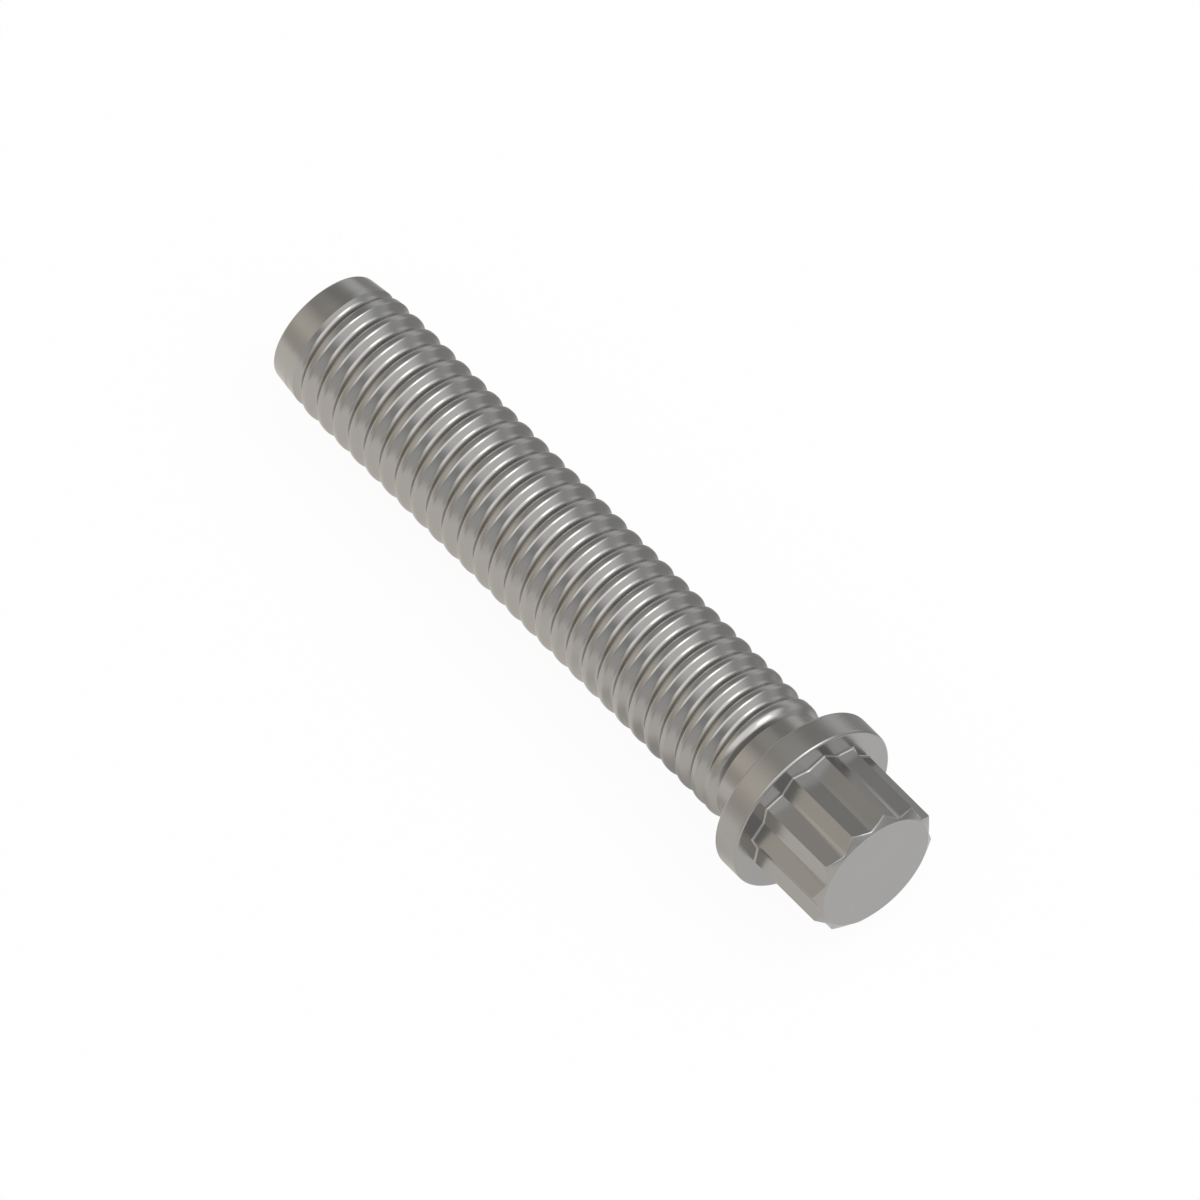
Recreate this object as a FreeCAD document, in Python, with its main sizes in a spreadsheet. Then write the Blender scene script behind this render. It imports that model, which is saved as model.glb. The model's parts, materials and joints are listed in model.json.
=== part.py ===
import FreeCAD, Part
import Sketcher
import math
import os

# A twelve-point flange head screw, M6 x 30, laid down as it comes to rest.
# In the screw's own frame the axis is Z, the tip's end face is the XY plane and the head is on +Z.
# The body's placement lays it on the floor: the flange's rim and the shank, just behind its lead,
# touch the floor, so the axis slopes a little, with the head towards +X.

DOC = FreeCAD.newDocument("TwelvePointFlangeScrew")

# Millimetres and degrees. Each size that can be chosen by itself stands here once.
SIZES = [
    ("shank_length", 30.0, "tip to bearing face"),
    ("thread_diameter", 5.9, "over the crests of the thread"),
    ("tip_diameter", 5.4, "end of the tapered lead"),
    ("tip_taper_length", 2.1, "tapered lead, along the axis"),
    ("tip_edge_radius", 0.12, "rounding of the end face's rim"),
    ("neck_diameter", 5.35, "plain neck, the blank's size before rolling"),
    ("neck_length", 1.5, "foot of the shoulder to bearing face"),
    ("shoulder_angle", 45.0, "slope between crests and neck, against the axis"),
    ("underhead_radius", 0.3, "fillet between neck and bearing face"),
    ("flange_diameter", 8.1, "over the flange"),
    ("flange_thickness", 1.3, "bearing face to the flange's top"),
    ("flange_edge_radius", 0.12, "rounding of both rims of the flange"),
    ("drive_width", 5.5, "across flats, the spanner's size"),
    ("drive_height", 4.1, "flange's top to the end of the head"),
    ("drive_turn", 16.74, "first point, counted from the line that lies lowest"),
    ("drive_point_radius", 0.1, "rounding of the twelve points"),
    ("drive_valley_radius", 0.12, "fillet in the twelve valleys"),
    ("drive_root_radius", 0.12, "fillet where the drive stands on the flange"),
    ("crown_angle", 30.0, "crown chamfer, against the end face"),
]

# Distances along the axis, as expressions of the sheet.
SHOULDER_TOP = (
    "Sizes.shank_length - Sizes.neck_length"
    " - (Sizes.thread_diameter - Sizes.neck_diameter) / 2 / tan(Sizes.shoulder_angle)"
)
SHOULDER_FOOT = "Sizes.shank_length - Sizes.neck_length"
BEARING_FACE = "Sizes.shank_length"
FLANGE_TOP = "Sizes.shank_length + Sizes.flange_thickness"
HEAD_END = "Sizes.shank_length + Sizes.flange_thickness + Sizes.drive_height"

# Seen from the side, the floor touches the rounded rim of the flange and the first full crest
# behind the tapered lead. The rise and run of that line give the tilt of the axis.
RISE = "(Sizes.flange_diameter / 2 - Sizes.flange_edge_radius - Sizes.thread_diameter / 2)"
RUN = "(Sizes.shank_length + Sizes.flange_edge_radius - Sizes.tip_taper_length)"
TILT = "(atan(%s / %s) + asin(Sizes.flange_edge_radius / sqrt(%s^2 + %s^2)))" % (RISE, RUN, RISE, RUN)

# Edges are found by where they lie, to within this many millimetres.
TOUCH = 1e-4


def make_sheet():
    """Puts the sizes in a spreadsheet, one aliased cell each."""
    sheet = DOC.addObject("Spreadsheet::Sheet", "Sizes")
    for row, (alias, value, meaning) in enumerate(SIZES, start=1):
        sheet.set("A%d" % row, meaning)
        sheet.set("B%d" % row, str(value))
        sheet.setAlias("B%d" % row, alias)
    DOC.recompute()
    return sheet


def amount(expression):
    """Works out an expression of the sheet, for a sketch's first draft or for finding an edge."""
    return float(DOC.Sizes.evalExpression(expression))


def origin_item(body, role):
    """Finds a plane or an axis of the body's own origin."""
    return next(item for item in body.Origin.OriginFeatures if item.Role == role)


def new_sketch(body, name, role):
    """Attaches an empty sketch to a plane of the body's own origin."""
    sketch = body.newObject("Sketcher::SketchObject", name)
    sketch.AttachmentSupport = [(origin_item(body, role), "")]
    sketch.MapMode = "FlatFace"
    return sketch


def bind(sketch, name, constraint, expression):
    """Adds a named dimension to a sketch and ties it to the sheet."""
    index = sketch.addConstraint(constraint)
    sketch.renameConstraint(index, name)
    sketch.setExpression("Constraints." + name, expression)


def draw_outline(sketch, corners):
    """Draws a closed outline and ties each corner to the sheet.

    A corner is a name and its two distances from the sketch's axes. None puts it on that axis.
    """
    points = []
    for _, across, along in corners:
        points.append(FreeCAD.Vector(amount(across or "0"), amount(along or "0"), 0))
    for start, end in zip(points, points[1:] + points[:1]):
        sketch.addGeometry(Part.LineSegment(start, end))
    for side, (name, across, along) in enumerate(corners):
        following = (side + 1) % len(corners)
        sketch.addConstraint(Sketcher.Constraint("Coincident", side, 2, following, 1))
        if across is None:
            sketch.addConstraint(Sketcher.Constraint("PointOnObject", side, 1, -2))
        else:
            away = Sketcher.Constraint("DistanceX", -1, 1, side, 1, points[side].x)
            bind(sketch, name + "_across", away, across)
        if along is None:
            sketch.addConstraint(Sketcher.Constraint("PointOnObject", side, 1, -1))
        else:
            up = Sketcher.Constraint("DistanceY", -1, 1, side, 1, points[side].y)
            bind(sketch, name + "_along", up, along)


def finish(body, feature):
    """Makes a feature the body's tip and works it out."""
    body.Tip = feature
    DOC.recompute()
    return feature


def turn_shank_and_flange(body):
    """Turns the tapered lead, the shank at crest size, the neck and the flange in one outline."""
    sketch = new_sketch(body, "TurnedOutline", "XZ_Plane")
    draw_outline(sketch, [
        ("tip_centre", None, None),
        ("tip_rim", "Sizes.tip_diameter / 2", None),
        ("lead_top", "Sizes.thread_diameter / 2", "Sizes.tip_taper_length"),
        ("shoulder_top", "Sizes.thread_diameter / 2", SHOULDER_TOP),
        ("shoulder_foot", "Sizes.neck_diameter / 2", SHOULDER_FOOT),
        ("neck_end", "Sizes.neck_diameter / 2", BEARING_FACE),
        ("flange_under", "Sizes.flange_diameter / 2", BEARING_FACE),
        ("flange_over", "Sizes.flange_diameter / 2", FLANGE_TOP),
        ("flange_centre", None, FLANGE_TOP),
    ])
    turned = body.newObject("PartDesign::Revolution", "ShankAndFlange")
    turned.Profile = sketch
    turned.ReferenceAxis = (sketch, ["V_Axis"])
    turned.Angle = 360
    return finish(body, turned)


def raise_drive(body):
    """Raises a hexagon on the flange and repeats it a twelfth of a turn on, for twelve points."""
    sketch = new_sketch(body, "DriveHexagon", "XY_Plane")
    sketch.setExpression("AttachmentOffset.Base.z", FLANGE_TOP)
    sketch.setExpression("AttachmentOffset.Rotation.Angle", "Sizes.drive_turn")
    corner_radius = amount("Sizes.drive_width / 2 / cos(30)")
    corners = []
    for step in range(6):
        turn = math.radians(60 * step)
        corners.append(FreeCAD.Vector(corner_radius * math.cos(turn), corner_radius * math.sin(turn), 0))
    for start, end in zip(corners, corners[1:] + corners[:1]):
        sketch.addGeometry(Part.LineSegment(start, end))
    circle = sketch.addGeometry(Part.Circle(FreeCAD.Vector(), FreeCAD.Vector(0, 0, 1), corner_radius), True)
    sketch.addConstraint(Sketcher.Constraint("Coincident", circle, 3, -1, 1))
    for side in range(6):
        sketch.addConstraint(Sketcher.Constraint("Coincident", side, 2, (side + 1) % 6, 1))
        sketch.addConstraint(Sketcher.Constraint("PointOnObject", side, 1, circle))
    for side in range(1, 6):
        sketch.addConstraint(Sketcher.Constraint("Equal", 0, side))
    sketch.addConstraint(Sketcher.Constraint("PointOnObject", 0, 1, -1))
    half_width = Sketcher.Constraint("DistanceY", -1, 1, 1, 1, amount("Sizes.drive_width / 2"))
    bind(sketch, "half_width", half_width, "Sizes.drive_width / 2")
    hexagon = body.newObject("PartDesign::Pad", "DriveSixPoints")
    hexagon.Profile = sketch
    hexagon.setExpression("Length", "Sizes.drive_height")
    finish(body, hexagon)
    twelve = body.newObject("PartDesign::PolarPattern", "DriveTwelvePoints")
    twelve.Originals = [hexagon]
    twelve.Axis = (origin_item(body, "Z_Axis"), [""])
    twelve.Angle = 30
    twelve.Occurrences = 2
    return finish(body, twelve)


def round_edges(body, name, size, wanted):
    """Rounds the edges of the body's tip that pass a test, and says when there are none."""
    base = body.Tip
    edges = []
    for number, edge in enumerate(base.Shape.Edges, start=1):
        if wanted(edge):
            edges.append("Edge%d" % number)
    if not edges:
        raise RuntimeError("no edge found for " + name)
    rounding = body.newObject("PartDesign::Fillet", name)
    rounding.Base = (base, edges)
    rounding.setExpression("Radius", size)
    return finish(body, rounding)


def upright_at(edge, radius):
    """Tells whether an edge is a line along the axis at a radius."""
    start, end = edge.firstVertex().Point, edge.lastVertex().Point
    straight_up = math.hypot(start.x - end.x, start.y - end.y) < TOUCH
    return straight_up and abs(math.hypot(start.x, start.y) - radius) < TOUCH


def circle_at(edge, radius, height):
    """Tells whether an edge is a full circle about the axis at a radius and a height."""
    curve = edge.Curve
    if curve.TypeId != "Part::GeomCircle" or not edge.isClosed():
        return False
    return abs(curve.Radius - radius) < TOUCH and abs(curve.Center.z - height) < TOUCH


def round_drive(body):
    """Rounds the twelve points and fills the twelve valleys of the drive."""
    point_radius = amount("Sizes.drive_width / 2 / cos(30)")
    valley_radius = amount("Sizes.drive_width / 2 / cos(15)")

    def at_point(edge):
        return upright_at(edge, point_radius)

    def at_valley(edge):
        return upright_at(edge, valley_radius)

    round_edges(body, "DrivePoints", "Sizes.drive_point_radius", at_point)
    round_edges(body, "DriveValleys", "Sizes.drive_valley_radius", at_valley)


def cut_crown(body):
    """Turns the crown chamfer: a cone that starts at the across-flats circle of the end face."""
    sketch = new_sketch(body, "CrownOutline", "XZ_Plane")
    drop = "(Sizes.flange_diameter - Sizes.drive_width) / 2 * tan(Sizes.crown_angle)"
    draw_outline(sketch, [
        ("crown_inner", "Sizes.drive_width / 2", HEAD_END),
        ("crown_low", "Sizes.flange_diameter / 2", HEAD_END + " - " + drop),
        ("crown_outer", "Sizes.flange_diameter / 2", HEAD_END),
    ])
    before = body.Tip.Shape.Volume
    crown = body.newObject("PartDesign::Groove", "Crown")
    crown.Profile = sketch
    crown.ReferenceAxis = (sketch, ["V_Axis"])
    crown.Angle = 360
    finish(body, crown)
    if not crown.Shape.Volume < before:
        raise RuntimeError("the crown cut nothing")


def fill_drive_root(body):
    """Fills the corner all round where the drive stands on the flange."""
    top = amount(FLANGE_TOP)
    drive_radius = amount("Sizes.drive_width / 2 / cos(30)")

    def at_root(edge):
        ends = [vertex.Point for vertex in edge.Vertexes]
        level = all(abs(end.z - top) < TOUCH for end in ends)
        return level and all(math.hypot(end.x, end.y) < drive_radius + TOUCH for end in ends)

    round_edges(body, "DriveRoot", "Sizes.drive_root_radius", at_root)


def round_turned_edges(body):
    """Rounds the flange's two rims and the tip's rim, and fills the corner under the head."""
    flange_radius = amount("Sizes.flange_diameter / 2")
    neck_radius = amount("Sizes.neck_diameter / 2")
    tip_radius = amount("Sizes.tip_diameter / 2")
    bearing = amount(BEARING_FACE)
    rims = (bearing, amount(FLANGE_TOP))

    def at_rim(edge):
        return any(circle_at(edge, flange_radius, height) for height in rims)

    def under_head(edge):
        return circle_at(edge, neck_radius, bearing)

    def at_tip(edge):
        return circle_at(edge, tip_radius, 0)

    round_edges(body, "FlangeRims", "Sizes.flange_edge_radius", at_rim)
    round_edges(body, "UnderHead", "Sizes.underhead_radius", under_head)
    round_edges(body, "TipRim", "Sizes.tip_edge_radius", at_tip)


def lay_down(body):
    """Lays the screw on the floor, with the middle of its plan over the frame's origin."""
    lead = "atan((Sizes.thread_diameter - Sizes.tip_diameter) / 2 / Sizes.tip_taper_length)"
    rim_centre = (
        "(Sizes.tip_diameter / 2 - Sizes.tip_edge_radius * (1 - sin(%s)) / cos(%s))" % (lead, lead)
    )
    low_x = "(Sizes.tip_edge_radius * (cos(%s) - 1) - %s * sin(%s))" % (TILT, rim_centre, TILT)
    high_x = "((%s) * cos(%s) + Sizes.drive_width / 2 * sin(%s))" % (HEAD_END, TILT, TILT)
    height = "Sizes.thread_diameter / 2 * cos(%s) - Sizes.tip_taper_length * sin(%s)" % (TILT, TILT)
    body.Placement.Rotation.Axis = FreeCAD.Vector(0, 1, 0)
    body.setExpression("Placement.Rotation.Angle", "90 deg - " + TILT)
    body.setExpression("Placement.Base.x", "-(%s + %s) / 2" % (low_x, high_x))
    body.setExpression("Placement.Base.z", height)
    DOC.recompute()


def make_flange_screw():
    """Makes the whole screw, which is one solid."""
    body = DOC.addObject("PartDesign::Body", "flange_screw")
    body.Label = "flange_screw"
    DOC.recompute()
    turn_shank_and_flange(body)
    round_turned_edges(body)
    raise_drive(body)
    round_drive(body)
    cut_crown(body)
    fill_drive_root(body)
    lay_down(body)
    return body


def check_document():
    """Stops if any object of the document failed to work out."""
    for item in DOC.Objects:
        if "Invalid" in item.State or "Error" in item.State:
            raise RuntimeError("%s failed: %s" % (item.Label, item.State))


def write_part(body):
    """Checks a sub-part's solid and writes it under its label."""
    shape = body.Shape
    if shape.isNull() or not shape.isValid() or len(shape.Solids) != 1:
        raise RuntimeError("%s is not one sound solid" % body.Label)
    shape.exportStep(os.path.join("parts", body.Label + ".step"))
    box = shape.optimalBoundingBox(False)
    print("%s: %.2f x %.2f x %.2f mm, lowest %.4f, middle %.4f, volume %.2f mm3, tilt %.3f deg" % (
        body.Label, box.XLength, box.YLength, box.ZLength, box.ZMin,
        (box.XMin + box.XMax) / 2, shape.Volume, amount(TILT),
    ))


def main():
    make_sheet()
    body = make_flange_screw()
    check_document()
    os.makedirs("parts", exist_ok=True)
    write_part(body)


main()
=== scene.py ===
import json
import math
from types import SimpleNamespace

import bmesh
import bpy
from mathutils import Matrix, Vector


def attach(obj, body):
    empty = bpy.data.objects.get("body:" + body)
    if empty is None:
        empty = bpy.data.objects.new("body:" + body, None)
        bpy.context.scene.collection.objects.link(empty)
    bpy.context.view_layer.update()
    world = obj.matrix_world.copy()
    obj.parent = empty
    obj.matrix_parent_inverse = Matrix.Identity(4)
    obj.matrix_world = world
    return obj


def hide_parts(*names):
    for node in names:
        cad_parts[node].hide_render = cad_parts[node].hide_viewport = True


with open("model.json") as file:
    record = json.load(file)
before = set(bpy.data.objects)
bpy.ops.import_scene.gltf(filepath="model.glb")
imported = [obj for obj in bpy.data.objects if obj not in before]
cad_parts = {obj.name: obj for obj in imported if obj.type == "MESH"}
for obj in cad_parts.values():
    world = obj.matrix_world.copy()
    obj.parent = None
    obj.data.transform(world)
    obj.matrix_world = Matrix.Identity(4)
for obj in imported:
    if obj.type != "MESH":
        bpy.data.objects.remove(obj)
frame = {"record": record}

bl_info = {
    "name": "Twelve-point flange screw",
    "version": (1, 0, 0),
    "blender": (4, 5, 0),
    "location": "3D View > Sidebar > Flange Screw",
    "description": "Models a twelve-point flange head screw with a rolled thread, and its stage",
    "category": "Object",
}

# The screw is modelled standing on its tip, with the axis on Z, in millimetres. It is then scaled
# to metres and laid down where the frame's mounts say.
MILLIMETRE = 0.001

# Every turned piece has so many segments round it, and so many from one point of the drive to the
# next.
SEGMENTS = 96
POINT_STEP = SEGMENTS // 12

# Places within NEAR of each other count as one, and vertices within SLIVER are merged after a cut.
# Surfaces that would fall together stand a HAIR apart. The last ridge starts RIDGE_LAP before the
# shoulder's rounding, and the thread ends halfway along that. What closes the lead and the last
# ridge inside the thread starts BELOW_ROOT under its roots. All are in millimetres.
NEAR = 1e-4
SLIVER = 2e-4
HAIR = 0.005
RIDGE_LAP = 0.06
BELOW_ROOT = 0.01

MOUNTS = {mount["name"]: mount for mount in frame["record"]["mounts"]}
HEAD_END = Vector(MOUNTS["twelve_point_drive"]["pos_m"])
AXIS = Vector(MOUNTS["twelve_point_drive"]["axis"])
THREAD_RADIUS = MOUNTS["threaded_shank"]["dims"]["r_mm"]

WHITE = (1.0, 1.0, 1.0, 1.0)
WARM = (1.0, 0.93, 0.82, 1.0)
# PALE_WARM tints the floor's warm cards, which are painted reflections that only the metal sees.
PALE_WARM = (1.0, 0.945, 0.875, 1.0)


def length(name, description, millimetres):
    """A length of the screw, given in millimetres."""
    return bpy.props.FloatProperty(
        name=name, description=description, default=millimetres * MILLIMETRE, min=0,
        subtype="DISTANCE", unit="LENGTH", precision=6
    )


def angle(name, description, degrees):
    """An angle of the screw, given in degrees."""
    return bpy.props.FloatProperty(
        name=name, description=description, default=math.radians(degrees),
        subtype="ANGLE", unit="ROTATION"
    )


def share(name, description, default):
    """A share, from nought to one."""
    return bpy.props.FloatProperty(
        name=name, description=description, default=default, subtype="FACTOR", min=0, max=1
    )


def brightness(name, description, default):
    """The level of a light. At one it is plain white."""
    return bpy.props.FloatProperty(name=name, description=description, default=default, min=0)


def tone(name, description, default):
    """A colour without its alpha."""
    return bpy.props.FloatVectorProperty(
        name=name, description=description, default=default, subtype="COLOR", size=3
    )


class ScrewSizes(bpy.types.PropertyGroup):
    """Sizes of the screw."""

    shank_length: length("Shank length", "Tip to bearing face", 30.0)
    thread_radius: length("Crest radius", "Axis to the crests of the thread", THREAD_RADIUS)
    pitch: length("Pitch", "Crest to crest, along the axis", 1.0)
    thread_depth: length("Thread depth", "Crest to root", 0.3)
    crest_width: length("Crest width", "Flat of the crest before rounding", 0.26)
    groove_place: length("Groove place", "Middle of a groove on the lowest line, from the tip", 0.012)
    crest_rounding: length("Crest rounding", "How far the crest's rounding reaches", 0.065)
    root_rounding: length("Root rounding", "How far the root's rounding reaches", 0.08)
    flank_angle: angle("Flank angle", "Against a plane across the axis", 44.0)
    tip_radius: length("Tip radius", "End of the tapered lead", 2.7)
    lead_length: length("Lead length", "Tapered lead, along the axis", 2.1)
    plain_lead: length("Plain lead", "Part of the lead that the thread leaves plain", 0.9)
    lead_rounding: length("Lead rounding", "Radius where the groove starts", 0.12)
    tip_rounding: length("Tip rounding", "Rim of the tip", 0.12)
    neck_radius: length("Neck radius", "Plain neck", 2.675)
    neck_length: length("Neck length", "Shoulder's foot to bearing face", 1.5)
    shoulder_angle: angle("Shoulder angle", "Against the axis", 45.0)
    shoulder_rounding: length("Shoulder rounding", "Radius between crests and shoulder", 0.5)
    underhead_rounding: length("Under-head fillet", "Radius", 0.3)
    flange_radius: length("Flange radius", "Axis to the flange's rim", 4.05)
    flange_thickness: length("Flange thickness", "Along the axis", 1.3)
    flange_rounding: length("Flange rounding", "Radius of both rims of the flange", 0.12)
    drive_width: length("Drive width", "Across flats", 5.5)
    drive_height: length("Drive height", "Flange's top to end face", 4.1)
    drive_turn: angle("Drive turn", "First point, counted from the lowest line", 16.74)
    crown_angle: angle("Crown angle", "Against the end face", 30.0)
    point_rounding: length("Point rounding", "Radius of the twelve points", 0.1)
    valley_rounding: length("Valley fillet", "Radius of the twelve valleys", 0.12)
    crown_rounding: length("Crown rounding", "How far the crown's rounding reaches", 0.04)
    root_fillet: length("Root fillet", "How far the fillet reaches from drive to flange", 0.1)


def in_millimetres(group):
    """Reads the screw's sizes, with lengths in millimetres and angles in degrees."""
    sizes = SimpleNamespace()
    for name in group.__annotations__:
        value = getattr(group, name)
        if group.bl_rna.properties[name].subtype == "ANGLE":
            setattr(sizes, name, math.degrees(value))
        else:
            setattr(sizes, name, value / MILLIMETRE)
    return sizes


# Modelling helpers
def only(item):
    """Leaves one object selected and active."""
    bpy.ops.object.select_all(action="DESELECT")
    item.select_set(True)
    bpy.context.view_layer.objects.active = item


def pick(item, kind, test):
    """In edit mode, selects the vertices, edges or faces that pass a test."""
    bpy.ops.mesh.select_mode(type=kind)
    bpy.ops.mesh.select_all(action="DESELECT")
    mesh = bmesh.from_edit_mesh(item.data)
    parts = {"VERT": mesh.verts, "EDGE": mesh.edges, "FACE": mesh.faces}[kind]
    for part in parts:
        if test(part):
            part.select_set(True)
    mesh.select_flush_mode()
    bmesh.update_edit_mesh(item.data, loop_triangles=False, destructive=False)


def select_open_edges():
    """In edit mode, selects the edges that have a face on one side only."""
    bpy.ops.mesh.select_all(action="DESELECT")
    bpy.ops.mesh.select_non_manifold(
        use_wire=False, use_boundary=True, use_multi_face=False,
        use_non_contiguous=False, use_verts=False
    )


def grow_flat(factor):
    """In edit mode, scales what is selected away from the Z axis and leaves its height."""
    bpy.ops.transform.resize(value=(factor, factor, 1), center_override=(0, 0, 0))


def lift_by(height):
    """In edit mode, moves what is selected up."""
    bpy.ops.transform.translate(value=(0, 0, height))


def finish_modifier(item, name):
    """Applies a modifier."""
    only(item)
    bpy.ops.object.modifier_apply(modifier=name)


def combine(item, other, operation):
    """Cuts, keeps or joins with another closed piece, which is then gone."""
    only(item)
    joint = item.modifiers.new("combine", "BOOLEAN")
    joint.operation = operation
    joint.solver = "EXACT"
    joint.object = other
    finish_modifier(item, "combine")
    bpy.data.objects.remove(other)
    close_slivers(item)


def close_slivers(item):
    """Merges what a cut left doubled, and fills what it left open between them."""
    bpy.ops.object.mode_set(mode="EDIT")
    bpy.ops.mesh.select_mode(type="VERT")
    bpy.ops.mesh.select_all(action="SELECT")
    bpy.ops.mesh.remove_doubles(threshold=SLIVER)
    bpy.ops.mesh.dissolve_degenerate(threshold=SLIVER)
    select_open_edges()
    if item.data.total_vert_sel:
        bpy.ops.mesh.fill()
    bpy.ops.object.mode_set(mode="OBJECT")


def arc(centre_r, centre_z, radius, start, end, steps):
    """Points of a rounding, as pairs of radius and height. The angles are in degrees."""
    points = []
    for step in range(steps + 1):
        turn = math.radians(start + (end - start) * step / steps)
        points.append((centre_r + radius * math.cos(turn), centre_z + radius * math.sin(turn)))
    return points


def turned(name, outline):
    """Turns a closed piece: a circle is extruded from one point of the outline to the next."""
    first_r, first_z = outline[0]
    bpy.ops.object.select_all(action="DESELECT")
    bpy.ops.mesh.primitive_circle_add(
        vertices=SEGMENTS, radius=first_r, fill_type="NGON", location=(0, 0, first_z)
    )
    item = bpy.context.object
    item.name = name
    only(item)
    bpy.ops.object.transform_apply(location=True, rotation=True, scale=True)
    bpy.ops.object.mode_set(mode="EDIT")
    bpy.ops.mesh.select_all(action="SELECT")
    radius, height = first_r, first_z
    for next_r, next_z in outline[1:]:
        bpy.ops.mesh.extrude_region_move(TRANSFORM_OT_translate={"value": (0, 0, next_z - height)})
        grow_flat(next_r / radius)
        radius, height = next_r, next_z
    bpy.ops.mesh.select_all(action="SELECT")
    bpy.ops.mesh.normals_make_consistent(inside=False)
    bpy.ops.object.mode_set(mode="OBJECT")
    return item


# The threaded shank
def thread_profile(sizes):
    """One pitch of the thread, from the middle of a groove to the middle of the next."""
    crest = sizes.thread_radius
    root = crest - sizes.thread_depth
    run = sizes.thread_depth * math.tan(math.radians(sizes.flank_angle))
    half_groove = (sizes.pitch - sizes.crest_width) / 2
    return [
        (root, 0),
        (root, half_groove - run),
        (crest, half_groove),
        (crest, half_groove + sizes.crest_width),
        (root, sizes.pitch - half_groove + run),
        (root, sizes.pitch),
    ]


def draw_profile(name, points, start):
    """Draws a chain of edges in the XZ plane, and leaves it in edit mode.

    A small plane is merged to its centre, and that vertex is extruded from point to point.
    """
    bpy.ops.object.select_all(action="DESELECT")
    first_r, first_z = points[0]
    bpy.ops.mesh.primitive_plane_add(size=0.1, location=(first_r, 0, first_z + start))
    item = bpy.context.object
    item.name = name
    only(item)
    bpy.ops.object.transform_apply(location=True, rotation=True, scale=True)
    bpy.ops.object.mode_set(mode="EDIT")
    bpy.ops.mesh.select_mode(type="VERT")
    bpy.ops.mesh.select_all(action="SELECT")
    bpy.ops.mesh.merge(type="CENTER")
    for (from_r, from_z), (to_r, to_z) in zip(points, points[1:]):
        bpy.ops.mesh.extrude_region_move(
            TRANSFORM_OT_translate={"value": (to_r - from_r, 0, to_z - from_z)}
        )
    return item


def round_corners(item, radius, offset):
    """In edit mode, rounds the profile's corners that stand at one radius."""

    def at_corner(vertex):
        return len(vertex.link_edges) == 2 and abs(vertex.co.x - radius) < NEAR

    pick(item, "VERT", at_corner)
    bpy.ops.mesh.bevel(offset=offset, segments=4, affect="VERTICES", clamp_overlap=True)


def close_end(item, apex_z, lower):
    """Closes one end of the thread's skin with a fan to a point on the axis."""
    middle = sum(vertex.co.z for vertex in item.data.vertices) / len(item.data.vertices)
    bpy.ops.object.mode_set(mode="EDIT")
    bpy.ops.mesh.select_mode(type="EDGE")
    select_open_edges()
    mesh = bmesh.from_edit_mesh(item.data)
    for edge in mesh.edges:
        if edge.select and (edge.verts[0].co.z < middle) != lower:
            edge.select_set(False)
    mesh.select_flush_mode()
    bmesh.update_edit_mesh(item.data)
    bpy.ops.mesh.select_mode(type="VERT")
    bpy.ops.mesh.extrude_region_move()
    bpy.ops.mesh.merge(type="CENTER")
    apex = [vertex for vertex in bmesh.from_edit_mesh(item.data).verts if vertex.select][0]
    shift = Vector((0, 0, apex_z)) - apex.co
    bpy.ops.transform.translate(value=shift)
    bpy.ops.object.mode_set(mode="OBJECT")


def model_shank(sizes):
    """Winds the thread from its profile, trims it, and adds the lead with the tip.

    The thread is wound from some turns below the tip to beyond the shoulder. A fan to a point
    on the axis, still further out, closes each end until it is trimmed.
    """
    turns_below = 3
    spare_turns = 4
    fan_reach = 1.5 * sizes.pitch
    turns = math.ceil(sizes.shank_length / sizes.pitch) + spare_turns
    start = sizes.groove_place - turns_below * sizes.pitch
    end = start + (turns + 1) * sizes.pitch
    profile = thread_profile(sizes)
    shank = draw_profile("threaded_shank", profile, start)
    round_corners(shank, profile[0][0], sizes.root_rounding)
    round_corners(shank, sizes.thread_radius, sizes.crest_rounding)
    bpy.ops.object.mode_set(mode="OBJECT")
    winding = shank.modifiers.new("winding", "SCREW")
    winding.axis = "Z"
    winding.angle = math.radians(360)
    winding.screw_offset = sizes.pitch
    winding.iterations = turns
    winding.steps = SEGMENTS
    winding.render_steps = SEGMENTS
    winding.use_merge_vertices = True
    winding.merge_threshold = NEAR
    finish_modifier(shank, "winding")
    bpy.ops.object.mode_set(mode="EDIT")
    bpy.ops.mesh.select_all(action="SELECT")
    bpy.ops.mesh.remove_doubles(threshold=NEAR)
    bpy.ops.object.mode_set(mode="OBJECT")
    close_end(shank, start - fan_reach, lower=True)
    close_end(shank, end + fan_reach, lower=False)
    bpy.ops.object.mode_set(mode="EDIT")
    bpy.ops.mesh.select_all(action="SELECT")
    bpy.ops.mesh.normals_make_consistent(inside=False)
    bpy.ops.object.mode_set(mode="OBJECT")
    combine(shank, turned("trim", trim_outline(sizes)), "INTERSECT")
    combine(shank, turned("lead", lead_outline(sizes)), "UNION")
    return shank


# The neck, the flange and the drive
def shoulder_height(sizes):
    """Height of the corner between the crests and the shoulder."""
    drop = sizes.thread_radius - sizes.neck_radius
    run = drop / math.tan(math.radians(sizes.shoulder_angle))
    return sizes.shank_length - sizes.neck_length - run


def bend_height(sizes):
    """Height at which the rounding between the crests and the shoulder starts."""
    half_turn = math.radians(sizes.shoulder_angle / 2)
    return shoulder_height(sizes) - sizes.shoulder_rounding * math.tan(half_turn)


def lead_slope(sizes):
    """How much the tapered lead widens over its length."""
    return (sizes.thread_radius - sizes.tip_radius) / sizes.lead_length


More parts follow.
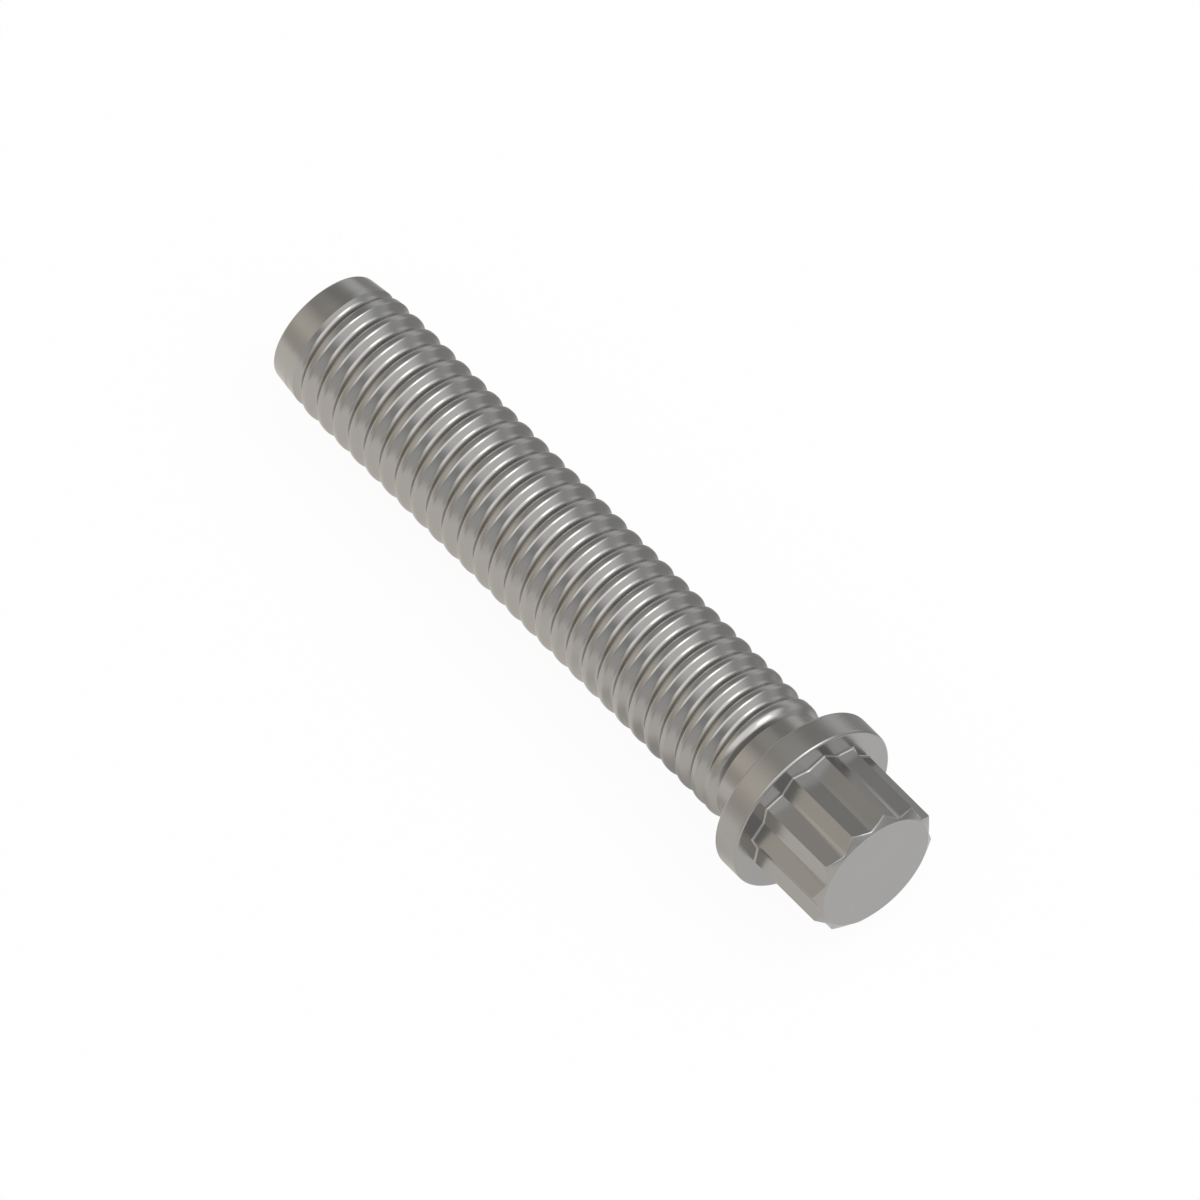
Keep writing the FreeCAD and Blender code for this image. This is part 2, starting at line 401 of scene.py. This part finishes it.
def lead_outline(sizes):
    """The tip and the plain part of the lead, closed by a steep cone where the groove starts.

    The outline ends inside the thread's core.
    """
    corner_end = 48
    core_depth = 0.2
    core_reach = 0.5
    slope = lead_slope(sizes)
    turn = math.atan(slope)
    rounding = sizes.tip_rounding
    rim = sizes.tip_radius - rounding * (1 - math.sin(turn)) / math.cos(turn)
    end = sizes.plain_lead
    bend = sizes.lead_rounding
    corner = arc(
        sizes.tip_radius + slope * end - bend * math.cos(turn), end + bend * math.sin(turn),
        bend, -math.degrees(turn), corner_end, steps=5
    )
    root = sizes.thread_radius - sizes.thread_depth - BELOW_ROOT
    last_r, last_z = corner[-1]
    return (
        arc(rim, rounding, rounding, -90, -math.degrees(turn), steps=4)
        + corner
        + [(root, last_z + last_r - root), (root - core_depth, end + core_reach)]
    )


def trim_outline(sizes):
    """What the thread is trimmed to, from a cut inside the lead to a cut inside the last ridge.

    It starts some way up the lead, a hair inside its surface. Beyond the lead it stands clear
    of the crests.
    """
    start = 0.4
    clear = 0.35
    inside = 0.6
    slope = lead_slope(sizes)
    lead = sizes.tip_radius - HAIR
    cut = bend_height(sizes) - RIDGE_LAP / 2
    return [
        (lead + slope * start, start),
        (lead + slope * sizes.lead_length + clear, sizes.lead_length + clear / slope),
        (sizes.thread_radius + clear, cut - clear),
        (sizes.thread_radius - inside, cut + inside),
    ]


def flange_outline(sizes):
    """The last ridge with its shoulder, the neck, and the flange up to its rounded top rim.

    The outline starts inside the thread. A steep cone ends the groove where it runs out, and the
    ridge stands over the crests by a hair, so that the two pieces join cleanly.
    """
    cone_length = 0.22
    core_depth = 0.2
    core_reach = 0.4
    crest = sizes.thread_radius + HAIR
    root = sizes.thread_radius - sizes.thread_depth
    bend = sizes.shoulder_rounding
    bend_start = bend_height(sizes)
    start = bend_start - RIDGE_LAP
    fillet = sizes.underhead_rounding
    rounding = sizes.flange_rounding
    inner = sizes.flange_radius - rounding
    flange_top = sizes.shank_length + sizes.flange_thickness
    return (
        [(root - core_depth, start - core_reach), (root - BELOW_ROOT, start - cone_length)]
        + [(crest, start)]
        + arc(crest - bend, bend_start, bend, 0, sizes.shoulder_angle, steps=6)
        + [(sizes.neck_radius, sizes.shank_length - sizes.neck_length)]
        + arc(sizes.neck_radius + fillet, sizes.shank_length - fillet, fillet, 180, 90, steps=5)
        + arc(inner, sizes.shank_length + rounding, rounding, -90, 0, steps=5)
        + arc(inner, flange_top - rounding, rounding, 0, 90, steps=5)
    )


def round_drive(head, sizes, outline, top):
    """In edit mode, rounds the drive's points, valleys and crown, and fills its root.

    The outline holds the radii from a point to the middle of a valley.
    """
    half_point_turn = math.radians(30)
    half_valley_turn = math.radians(15)
    cone = math.cos(math.radians(sizes.crown_angle))
    reach = outline[0] + 0.1
    foot = top - 0.01
    slack = 0.05

    def upright(radius):
        """Upright edges that stand at one radius."""
        def test(edge):
            low, high = (vertex.co for vertex in edge.verts)
            is_upright = (low.xy - high.xy).length < NEAR
            return is_upright and abs(low.xy.length - radius) < NEAR and low.z > 0
        return test

    def between(low, high):
        """Edges of the drive where a face as steep as low meets one as steep as high."""
        def test(edge):
            steep = sorted(face.normal.z for face in edge.link_faces)
            near = max(vertex.co.xy.length for vertex in edge.verts) < reach
            on_drive = near and edge.verts[0].co.z > foot
            return on_drive and abs(steep[0] - low) < slack and abs(steep[1] - high) < slack
        return test

    pick(head, "EDGE", upright(outline[0]))
    bpy.ops.mesh.bevel(offset=sizes.point_rounding * math.tan(half_point_turn), segments=3)
    pick(head, "EDGE", upright(outline[-1]))
    bpy.ops.mesh.bevel(offset=sizes.valley_rounding * math.tan(half_valley_turn), segments=2)
    pick(head, "EDGE", between(0, cone))
    bpy.ops.mesh.bevel(offset=sizes.crown_rounding, segments=2)
    pick(head, "EDGE", between(0, 1))
    bpy.ops.mesh.bevel(offset=sizes.root_fillet, segments=4)


def model_head(sizes):
    """Turns the neck and the flange, then raises the drive from the flange's top."""
    head = turned("twelve_point_head", flange_outline(sizes))
    top = sizes.shank_length + sizes.flange_thickness
    end = top + sizes.drive_height
    inner = sizes.flange_radius - sizes.flange_rounding
    half = sizes.drive_width / 2
    crown = math.tan(math.radians(sizes.crown_angle))
    half_facet = 30
    segment = 360 / SEGMENTS
    outline = []
    for step in range(POINT_STEP // 2 + 1):
        outline.append(half / math.cos(math.radians(half_facet - segment * step)))
    ring = (inner + outline[0]) / 2
    lift = 0.5

    def on_top(height):
        """Vertices at one height."""
        def test(vertex):
            return abs(vertex.co.z - height) < NEAR
        return test

    def at_step(step, height):
        """Vertices that stand so many steps from the nearest point of the drive."""
        def test(vertex):
            if abs(vertex.co.z - height) > NEAR:
                return False
            turn = math.degrees(math.atan2(vertex.co.y, vertex.co.x)) / segment
            away = round(turn) % POINT_STEP
            return min(away, POINT_STEP - away) == step
        return test

    def cap(height):
        """The face that closes the head at or over a height."""
        def test(face):
            return len(face.verts) == SEGMENTS and face.calc_center_median().z > height - NEAR
        return test

    # An inset ring on the flange's top, and from it a flat strip in to the drive's outline. The
    # new vertices are lifted while they are shaped, so that they can be picked by their height.
    bpy.ops.object.mode_set(mode="EDIT")
    pick(head, "FACE", cap(top))
    bpy.ops.mesh.inset(thickness=inner - ring, use_even_offset=True)
    bpy.ops.mesh.extrude_region_move()
    lift_by(lift)
    for step, radius in enumerate(outline):
        pick(head, "VERT", at_step(step, top + lift))
        grow_flat(radius / ring)
    pick(head, "VERT", on_top(top + lift))
    lift_by(-lift)
    pick(head, "FACE", cap(top))
    bpy.ops.mesh.extrude_region_move(TRANSFORM_OT_translate={"value": (0, 0, sizes.drive_height)})
    # The crown: a cone from the across-flats circle of the end face down to the points.
    pick(head, "FACE", cap(end))
    bpy.ops.mesh.extrude_region_move()
    lift_by(lift)
    for step, radius in enumerate(outline):
        pick(head, "VERT", at_step(step, end + lift))
        grow_flat(half / radius)
        pick(head, "VERT", at_step(step, end))
        lift_by((half - radius) * crown)
    pick(head, "VERT", on_top(end + lift))
    lift_by(-lift)
    round_drive(head, sizes, outline, top)
    bpy.ops.object.mode_set(mode="OBJECT")
    only(head)
    head.rotation_euler = (0, 0, math.radians(sizes.drive_turn))
    bpy.ops.object.transform_apply(location=True, rotation=True, scale=True)
    return head


# The material
class Value:
    """A shader socket that can be used in a Python expression."""

    def __init__(self, shader, socket):
        self.shader = shader
        self.socket = socket

    def math(self, operation, first, second):
        """Adds a Math node on two values or numbers."""
        return self.shader.add("ShaderNodeMath", {"operation": operation}, {0: first, 1: second})

    def __add__(self, other):
        return self.math("ADD", self, other)

    def __radd__(self, other):
        return self.math("ADD", other, self)

    def __sub__(self, other):
        return self.math("SUBTRACT", self, other)

    def __rsub__(self, other):
        return self.math("SUBTRACT", other, self)

    def __mul__(self, other):
        return self.math("MULTIPLY", self, other)

    def __rmul__(self, other):
        return self.math("MULTIPLY", other, self)


class Shader:
    """A node tree that is filled by short calls."""

    def __init__(self, tree):
        self.tree = tree
        tree.nodes.clear()

    def add(self, kind, settings=None, values=None, output=0):
        """Adds a node: its settings first, then the values or links of its sockets.

        The result wraps the chosen output, which may be a number or a name.
        """
        node = self.tree.nodes.new(kind)
        for name, setting in (settings or {}).items():
            setattr(node, name, setting)
        for name, value in (values or {}).items():
            if isinstance(value, Value):
                self.tree.links.new(value.socket, node.inputs[name])
            else:
                node.inputs[name].default_value = value
        return Value(self, node.outputs[output]) if node.outputs else None

    def noise(self, place, scale, detail, roughness=0.5):
        """Noise of a scale per metre."""
        values = {"Vector": place, "Scale": scale, "Detail": detail, "Roughness": roughness}
        return self.add("ShaderNodeTexNoise", None, values)

    def step(self, value, start, end):
        """Rises smoothly from nought at start to one at end."""
        values = {"Value": value, "From Min": start, "From Max": end}
        return self.add("ShaderNodeMapRange", {"interpolation_type": "SMOOTHSTEP"}, values)

    def along(self, vector, direction):
        """How far a vector reaches in a direction."""
        settings = {"operation": "DOT_PRODUCT"}
        return self.add("ShaderNodeVectorMath", settings, {0: vector, 1: direction}, "Value")

    def toward(self, vector, side):
        """One where a vector points to a side of the room, nought away from it."""
        direction, start, end = side
        return self.step(self.along(vector, direction), start, end)

    def glow(self, strength, colour=WHITE):
        """A surface that glows evenly."""
        return self.add("ShaderNodeEmission", None, {"Color": colour, "Strength": strength})

    def mix(self, factor, first, second):
        """Mixes two surfaces."""
        return self.add("ShaderNodeMixShader", None, {0: factor, 1: first, 2: second})

    def mix_colour(self, factor, first, second):
        """Mixes two colours."""
        settings = {"data_type": "RGBA"}
        return self.add("ShaderNodeMix", settings, {"Factor": factor, 6: first, 7: second}, 2)

    def surface(self, result):
        """Gives the material its surface."""
        self.add("ShaderNodeOutputMaterial", None, {"Surface": result})


class SteelFinish(bpy.types.PropertyGroup):
    """Colour and sheen of the satin steel."""

    dark: tone("Dark", "Darker patches", (0.405, 0.402, 0.396))
    light: tone("Light", "Lighter patches", (0.438, 0.434, 0.428))
    roughness: share("Roughness", "Mean roughness of the shank", 0.18)
    grain: share("Grain", "Strength of the fine grain on the head", 0.16)


# Patches of tone and grains to the metre, and how much each of them varies the roughness.
PATCH_SCALE = 420
GRAIN_SCALE = 16000
UNEVENNESS = 0.05

# The head is a little rougher than the shank, which has a small share of the head's grain. The
# change comes where the flange starts, in metres along the screw.
HEAD_ROUGHER = 0.045
SHANK_GRAIN = 0.15
GRAIN_HEIGHT = 0.00002
HEAD_STARTS = (0.011, 0.0125)


def satin_steel(finish):
    """Satin steel: soft patches of tone, uneven sheen and a fine grain, by Object coordinates."""
    material = bpy.data.materials.new("satin_steel")
    material.use_nodes = True
    shader = Shader(material.node_tree)
    place = shader.add("ShaderNodeTexCoord", None, None, "Object")
    patches = shader.noise(place, PATCH_SCALE, detail=3)
    grain = shader.noise(place, GRAIN_SCALE, detail=2, roughness=0.6)
    colour = shader.mix_colour(patches, tuple(finish.dark) + (1,), tuple(finish.light) + (1,))
    head = shader.step(shader.along(place, (1, 0, 0)), *HEAD_STARTS)
    uneven = UNEVENNESS * (patches - 0.5) + UNEVENNESS * (grain - 0.5)
    bump = shader.add("ShaderNodeBump", None, {
        "Strength": finish.grain,
        "Distance": GRAIN_HEIGHT,
        "Height": grain * (SHANK_GRAIN + (1 - SHANK_GRAIN) * head),
    })
    surface = shader.add("ShaderNodeBsdfPrincipled", None, {
        "Base Color": colour,
        "Metallic": 1.0,
        "Roughness": finish.roughness + uneven + HEAD_ROUGHER * head,
        "Normal": bump,
    })
    shader.surface(surface)
    return material


# The stage
class StageSettings(bpy.types.PropertyGroup):
    """Floor, light and camera."""

    floor_colour: tone("Floor colour", "The pale floor", (0.95, 0.95, 0.95))
    floor_glow: share("Floor glow", "Share of plain white in the floor, to the camera", 0.95)
    # The metal sees the floor partly as glowing cards, which are painted reflections: white before
    # the head, warm beside the head and along the shank.
    mirror_glow: share("Mirror glow", "Share of light cards in the floor, to the metal", 0.85)
    near_floor: brightness("Near floor", "Card before the head", 0.82)
    side_floor: brightness("Side floor", "Card beside the head, on the near side", 0.82)
    shank_floor: brightness("Shank floor", "Card beside the shank, on the near side", 0.91)
    # The dim card is painted shade seen only in the metal: the screw's painted shadow beyond it,
    # painted contact shade by the flange, and a painted darker reflection far off on the near side.
    far_floor: brightness("Far floor", "Card beyond the screw", 0.27)
    horizon: brightness("Horizon", "Light low round the room", 0.45)
    far_horizon: brightness("Far horizon", "Light low beyond the screw", 0.7)
    near_horizon: brightness("Near horizon", "Light low on the near side", 0.59)
    warm_side: brightness("Warm side", "Light of the warm side", 0.79)
    dim_side: brightness("Dim side", "Light of the other side", 0.33)
    skylight: brightness("Skylight", "Glow over the tip, added", 0.15)
    front: brightness("Front", "Light before the head", 0.9)
    band: brightness("Band", "Glow of the band of light overhead, added", 1.03)
    key_level: brightness("Key level", "Lamp overhead", 2.4)
    view_width: bpy.props.FloatProperty(
        name="View width", description="Width of the picture", default=0.0487,
        subtype="DISTANCE", unit="LENGTH"
    )


# The camera's axes, and the middle of the picture seen from the middle of the end face.
VIEW_BACK = Vector((0.4262, -0.3480, 0.8351))
VIEW_RIGHT = Vector((0.6324, 0.7746, 0.0))
VIEW_UP = Vector((-0.6469, 0.5281, 0.5502))
AIM_RIGHT = -11.185 * MILLIMETRE
AIM_UP = 11.051 * MILLIMETRE
VIEW_DISTANCE = 0.2

# The overhead lamp: azimuth and elevation in degrees, its width in degrees as the object sees it,
# and its distance.
KEY_AZIMUTH = 50
KEY_ELEVATION = 60
KEY_WIDTH = 24
KEY_DISTANCE = 0.4

FLOOR_WIDTH = 2.0

# Sides of the room: a direction, and how far a ray points in it where the side's light starts and
# where it is full.
UP = Vector((0.0, 0.0, 1.0))
WARM_SIDE = (Vector((-0.559, -0.829, 0.0)), 0.3, 0.85)
SKYLIGHT = (Vector((-0.493, 0.156, 0.856)), 0.93, 0.99)
FRONT = (Vector((0.778, 0.314, 0.545)), 0.8, 0.97)
FAR_SIDE = (Vector((-0.47, 0.883, 0.0)), 0.3, 0.8)
NEAR_SIDE = (Vector((0.0, -1.0, 0.0)), 0.1, 0.5)
LOW = (UP, 0.5, 0.17)
BAND_SIDE = (Vector((0.321, 0.383, 0.866)), -0.1, 0.6)
BAND_HIGH = (UP, 0.35, 0.75)
BAND_STARTS = (AXIS, -0.35, 0.0)
BAND_ENDS = (AXIS, 0.55, 0.85)
WARM_SKY = (UP, 0.4, 0.65)
WARM_SKY_SHARE = 0.5

# Where the floor's cards fade in or out: metres along the screw (x) or across it (y). The cards are
# painted reflections and painted shade, seen only in the metal.
HEAD_X = (0.0125, 0.014)
HEAD_Y = (-0.0038, -0.0028)
SIDE_X = (0.003, 0.009)
AHEAD_X = (0.008, 0.013)
AHEAD_Y = (0.008, 0.016)
BEYOND_Y = (0.001, 0.009)
PALER_Y = (0.025, 0.06)
CLOSE_X = (0.002, 0.008)
CLOSE_Y = (-0.009, -0.004)
CLOSE_ENDS_Y = (0.0, 0.001)
DISTANT_Y = (-0.012, -0.05)

# The dim card's share on the near side: close to the screw it is painted contact shade, and far off
# it is a painted darker reflection. Beyond the screw the dim card is the screw's painted shadow, and
# PALER is how much of it is gone far beyond the screw.
PAINTED_CONTACT_SHADE_SHARE = 0.58
PAINTED_FAR_DIMMING_SHARE = 0.5
PALER = 0.35


def add_key(stage):
    """Hangs a round lamp over the object. Its level is its brightness as the metal sees it."""
    lamp = bpy.data.lights.new("key", "AREA")
    lamp.shape = "DISK"
    lamp.size = 2 * KEY_DISTANCE * math.tan(math.radians(KEY_WIDTH / 2))
    lamp.energy = stage.key_level * math.pi * math.pi * (lamp.size / 2) ** 2
    item = bpy.data.objects.new("key", lamp)
    bpy.context.scene.collection.objects.link(item)
    azimuth, elevation = math.radians(KEY_AZIMUTH), math.radians(KEY_ELEVATION)
    back = Vector((
        math.cos(azimuth) * math.cos(elevation),
        math.sin(azimuth) * math.cos(elevation),
        math.sin(elevation),
    ))
    item.location = back * KEY_DISTANCE
    item.rotation_mode = "QUATERNION"
    item.rotation_quaternion = back.to_track_quat("Z", "Y")


def floor_material(stage):
    """A pale floor that keeps its shadows. To the camera it has a share of plain white.

    In the metal it has a share of glowing cards, which are painted reflections: white before the head
    and a warm one along the near side. A dim card among them is painted shade: contact shade close to
    the screw, a darker reflection far off on the near side, and the screw's shadow beyond it.
    """
    material = bpy.data.materials.new("pale_floor_painted_reflections")
    material.use_nodes = True
    shader = Shader(material.node_tree)
    camera = shader.add("ShaderNodeLightPath", None, None, "Is Camera Ray")
    glossy = shader.add("ShaderNodeLightPath", None, None, "Is Glossy Ray")
    place = shader.add("ShaderNodeTexCoord", None, None, "Object")
    along = shader.along(place, (1, 0, 0))
    across = shader.along(place, (0, 1, 0))
    behind = 1 - shader.step(along, *AHEAD_X) * (1 - shader.step(across, *AHEAD_Y))
    # The screw's painted shadow beyond it, paler far off.
    beyond = shader.step(across, *BEYOND_Y) * (1 - PALER * shader.step(across, *PALER_Y)) * behind
    # Painted contact shade close to the screw, by the flange on the near side.
    close = PAINTED_CONTACT_SHADE_SHARE * shader.step(across, *CLOSE_Y) * (1 - shader.step(across, *CLOSE_ENDS_Y))
    close = close * shader.step(along, *CLOSE_X) * behind
    # A painted darker reflection far off on the near side.
    painted_far_dimming = PAINTED_FAR_DIMMING_SHARE * shader.step(across, *DISTANT_Y)
    # All of the dim card: painted shade in the metal's reflection.
    dim = beyond + close + painted_far_dimming
    # The white card before the head is a painted reflection for the head's end face.
    head_reflection_mask = shader.step(along, *HEAD_X) * shader.step(across, *HEAD_Y)
    paint = shader.add("ShaderNodeBsdfDiffuse", None, {"Color": tuple(stage.floor_colour) + (1,)})
    # Warm glowing cards beside the head and along the shank: painted reflections.
    shank = shader.glow(stage.shank_floor, PALE_WARM)
    side = shader.glow(stage.side_floor, PALE_WARM)
    card = shader.mix(shader.step(along, *SIDE_X), shank, side)
    card = shader.mix(head_reflection_mask, card, shader.glow(stage.near_floor))
    card = shader.mix(dim, card, shader.glow(stage.far_floor))
    # Glossy rays see a share of painted reflections and painted shade instead of the lit paint, which
    # keeps the real shadows.
    lit_paint_with_painted_reflection = shader.mix(stage.mirror_glow * glossy, paint, card)
    shader.surface(shader.mix(stage.floor_glow * camera, lit_paint_with_painted_reflection, shader.glow(1.0)))
    return material


def room_light(stage):
    """The room: plain white to the camera. To the object one side is warm and bright, one dim."""
    world = bpy.data.worlds.new("room")
    bpy.context.scene.world = world
    world.use_nodes = True
    shader = Shader(world.node_tree)
    camera = shader.add("ShaderNodeLightPath", None, None, "Is Camera Ray")
    ray = shader.add("ShaderNodeTexCoord", None, None, "Generated")
    warm = shader.toward(ray, WARM_SIDE)
    level = stage.dim_side + (stage.warm_side - stage.dim_side) * warm
    level = level + stage.skylight * shader.toward(ray, SKYLIGHT)
    far_more = stage.far_horizon - stage.horizon
    horizon = stage.horizon + far_more * shader.toward(ray, FAR_SIDE)
    horizon = horizon + (stage.near_horizon - horizon) * shader.toward(ray, NEAR_SIDE)
    level = level + (horizon - level) * shader.toward(ray, LOW)
    level = level + (stage.front - level) * shader.toward(ray, FRONT)
    band = shader.toward(ray, BAND_STARTS) * (1 - shader.toward(ray, BAND_ENDS))
    band = band * shader.toward(ray, BAND_HIGH)
    level = level + stage.band * band * shader.toward(ray, BAND_SIDE)
    warm_sky = WARM_SKY_SHARE * shader.toward(ray, WARM_SKY) * (1 - band)
    tint = warm + (1 - warm) * warm_sky
    room = shader.add("ShaderNodeBackground", None, {
        "Color": shader.mix_colour(tint * (1 - camera), WHITE, WARM),
        "Strength": camera + (1 - camera) * level,
    })
    shader.add("ShaderNodeOutputWorld", None, {"Surface": room})


def place_camera(stage):
    """Sets a camera without perspective at the photograph's angle."""
    camera = bpy.data.cameras.new("camera")
    camera.type = "ORTHO"
    camera.ortho_scale = stage.view_width
    camera.clip_start = 0.001
    camera.clip_end = 10
    item = bpy.data.objects.new("camera", camera)
    bpy.context.scene.collection.objects.link(item)
    aim = HEAD_END + VIEW_RIGHT * AIM_RIGHT + VIEW_UP * AIM_UP
    turn = Matrix((VIEW_RIGHT, VIEW_UP, VIEW_BACK)).transposed()
    item.rotation_mode = "QUATERNION"
    item.rotation_quaternion = turn.to_quaternion()
    item.location = aim + VIEW_BACK * VIEW_DISTANCE
    bpy.context.scene.camera = item


# The operators
SMOOTH_BELOW = math.radians(28)


class SCREW_OT_model(bpy.types.Operator):
    """Models the whole screw, lays it down and gives it its finish"""

    bl_idname = "flange_screw.model"
    bl_label = "Model the screw"

    def execute(self, context):
        sizes = in_millimetres(context.scene.screw_sizes)
        screw = model_shank(sizes)
        combine(screw, model_head(sizes), "UNION")
        screw.name = "satin_flange_screw"
        only(screw)
        bpy.ops.object.shade_smooth_by_angle(angle=SMOOTH_BELOW)
        weighted = screw.modifiers.new("weighted", "WEIGHTED_NORMAL")
        weighted.keep_sharp = True
        finish_modifier(screw, "weighted")
        full_length = sizes.shank_length + sizes.flange_thickness + sizes.drive_height
        screw.scale = (MILLIMETRE, MILLIMETRE, MILLIMETRE)
        screw.rotation_euler = (0, math.atan2(AXIS.x, AXIS.z), 0)
        screw.location = HEAD_END - AXIS * full_length * MILLIMETRE
        bpy.ops.object.transform_apply(location=True, rotation=True, scale=True)
        screw.data.materials.clear()
        screw.data.materials.append(satin_steel(context.scene.steel_finish))
        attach(screw, "root")
        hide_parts("flange_screw")
        return {"FINISHED"}


class SCREW_OT_stage(bpy.types.Operator):
    """Sets the floor, the soft light and the camera"""

    bl_idname = "flange_screw.stage"
    bl_label = "Set the stage"

    def execute(self, context):
        stage = context.scene.screw_stage
        bpy.ops.object.select_all(action="DESELECT")
        bpy.ops.mesh.primitive_plane_add(size=FLOOR_WIDTH, location=(0, 0, 0))
        floor = context.object
        floor.name = "floor"
        floor.data.materials.append(floor_material(stage))
        room_light(stage)
        add_key(stage)
        place_camera(stage)
        context.scene.view_settings.view_transform = "Standard"
        return {"FINISHED"}


class SCREW_PT_panel(bpy.types.Panel):
    """Lists the steps and the sizes"""

    bl_label = "Flange Screw"
    bl_idname = "SCREW_PT_panel"
    bl_space_type = "VIEW_3D"
    bl_region_type = "UI"
    bl_category = "Flange Screw"

    def draw(self, context):
        layout = self.layout
        layout.operator(SCREW_OT_model.bl_idname)
        layout.operator(SCREW_OT_stage.bl_idname)
        scene = context.scene
        for group in (scene.screw_sizes, scene.steel_finish, scene.screw_stage):
            box = layout.box()
            for name in group.__annotations__:
                box.prop(group, name)


CLASSES = (ScrewSizes, SteelFinish, StageSettings, SCREW_OT_model, SCREW_OT_stage, SCREW_PT_panel)


def register():
    for item in CLASSES:
        bpy.utils.register_class(item)
    bpy.types.Scene.screw_sizes = bpy.props.PointerProperty(type=ScrewSizes)
    bpy.types.Scene.steel_finish = bpy.props.PointerProperty(type=SteelFinish)
    bpy.types.Scene.screw_stage = bpy.props.PointerProperty(type=StageSettings)


def unregister():
    for name in ("screw_sizes", "steel_finish", "screw_stage"):
        delattr(bpy.types.Scene, name)
    for item in reversed(CLASSES):
        bpy.utils.unregister_class(item)


def main():
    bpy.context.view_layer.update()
    register()
    bpy.ops.flange_screw.model()
    bpy.ops.flange_screw.stage()


if __name__ == "__main__":
    main()
